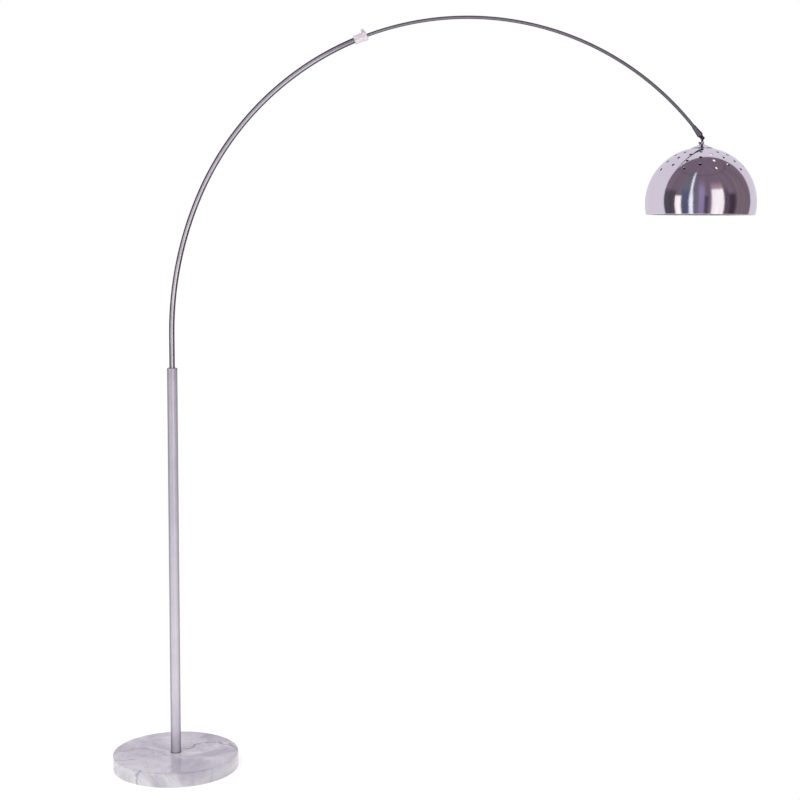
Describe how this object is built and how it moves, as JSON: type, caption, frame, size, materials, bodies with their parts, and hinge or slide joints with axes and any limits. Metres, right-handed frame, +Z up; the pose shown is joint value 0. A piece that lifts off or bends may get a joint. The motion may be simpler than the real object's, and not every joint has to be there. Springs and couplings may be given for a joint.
{
  "type": "arc floor lamp",
  "caption": "Arc floor lamp: round stone base, upright pole, curved telescoping arm with a screw collar, and a perforated metal dome shade on a tilting knuckle.",
  "frame": {"origin": "centre of the round base on the floor, on the pole's axis", "axes": "+Z up along the pole, +X from the pole towards the shade, the arm lies in the XZ plane"},
  "size_m": [1.7665, 0.3521, 2.0776],
  "materials": {
    "marble": "gloss",
    "felt": "matte",
    "steel": "satin",
    "rubber": "matte",
    "pole_metal": "satin",
    "arm_metal": "polished",
    "collar_metal": "satin",
    "nylon": "matte",
    "black_steel": "gloss",
    "shade_metal": "polished",
    "brass": "satin",
    "fibre": "matte",
    "holder_plastic": "gloss",
    "porcelain": "satin",
    "bulb_glass": "satin",
    "cap_metal": "satin",
    "cord_sheath": "matte"
  },
  "bodies": {
    "base": {"marble_base": "marble", "base_foot_ring": "felt", "base_washer": "steel", "base_nut": "steel", "base_stud": "steel", "pole_foot_plug": "steel", "pole_gasket": "rubber", "pole": "pole_metal", "pole_top_reducer": "pole_metal", "pole_guide_bush": "nylon", "pole_grub_screws": "black_steel", "cable_grommet": "rubber", "lead_in_pole": "cord_sheath"},
    "lower_arm": {"lower_arm_tube": "arm_metal", "arm_stop_ring": "steel", "collar_body": "collar_metal", "collar_liner": "nylon", "collar_clamp_pad": "nylon", "lead_in_lower_arm": "cord_sheath"},
    "collar_screw": {"collar_thumb_screw": "collar_metal"},
    "upper_arm": {"upper_arm_tube": "arm_metal", "arm_tail_bush": "nylon", "tip_ferrule": "arm_metal", "tip_fork": "black_steel", "lead_in_upper_arm": "cord_sheath"},
    "tilt_screw": {"tilt_thumb_screw": "black_steel"},
    "knuckle": {"knuckle_link": "black_steel"},
    "shade": {"shade_cap": "shade_metal", "cap_set_screw": "black_steel", "shade_dome": "shade_metal", "cap_nut": "brass", "fibre_washer": "fibre", "swivel_socket": "brass", "shade_stem": "brass", "stem_lock_nut": "steel", "lead_in_shade": "cord_sheath", "lampholder_cap": "holder_plastic", "lampholder_body": "holder_plastic", "lampholder_insert": "porcelain", "centre_contact": "brass", "thread_shell": "brass", "bulb_glass": "bulb_glass", "bulb_cap": "cap_metal", "bulb_contact": "brass"}
  },
  "joints": [
    {"name": "arm_swivel", "type": "hinge", "parent": "base", "child": "lower_arm", "pos_m": [0, 0, 1.126], "axis": [0, 0, 1], "range_deg": [-170, 170]},
    {"name": "arm_telescope", "type": "hinge", "parent": "lower_arm", "child": "upper_arm", "pos_m": [0.8076, 0, 1.27817], "axis": [0, 1, 0], "range_deg": [-22, 8]},
    {"name": "collar_screw_turn", "type": "hinge", "parent": "lower_arm", "child": "collar_screw", "pos_m": [0.52257, 0, 2.0204], "axis": [-0.3714, 0, 0.9285], "range_deg": [0, 270]},
    {"name": "shade_tilt", "type": "hinge", "parent": "upper_arm", "child": "knuckle", "pos_m": [1.44151, 0, 1.75801], "axis": [0, 1, 0], "range_deg": [-40, 40]},
    {"name": "tilt_screw_turn", "type": "hinge", "parent": "upper_arm", "child": "tilt_screw", "pos_m": [1.44151, 0, 1.75801], "axis": [0, -1, 0], "range_deg": [0, 270]},
    {"name": "shade_turn", "type": "hinge", "parent": "knuckle", "child": "shade", "pos_m": [1.44151, 0, 1.72801], "axis": [0, 0, 1], "range_deg": [-170, 170]}
  ]
}
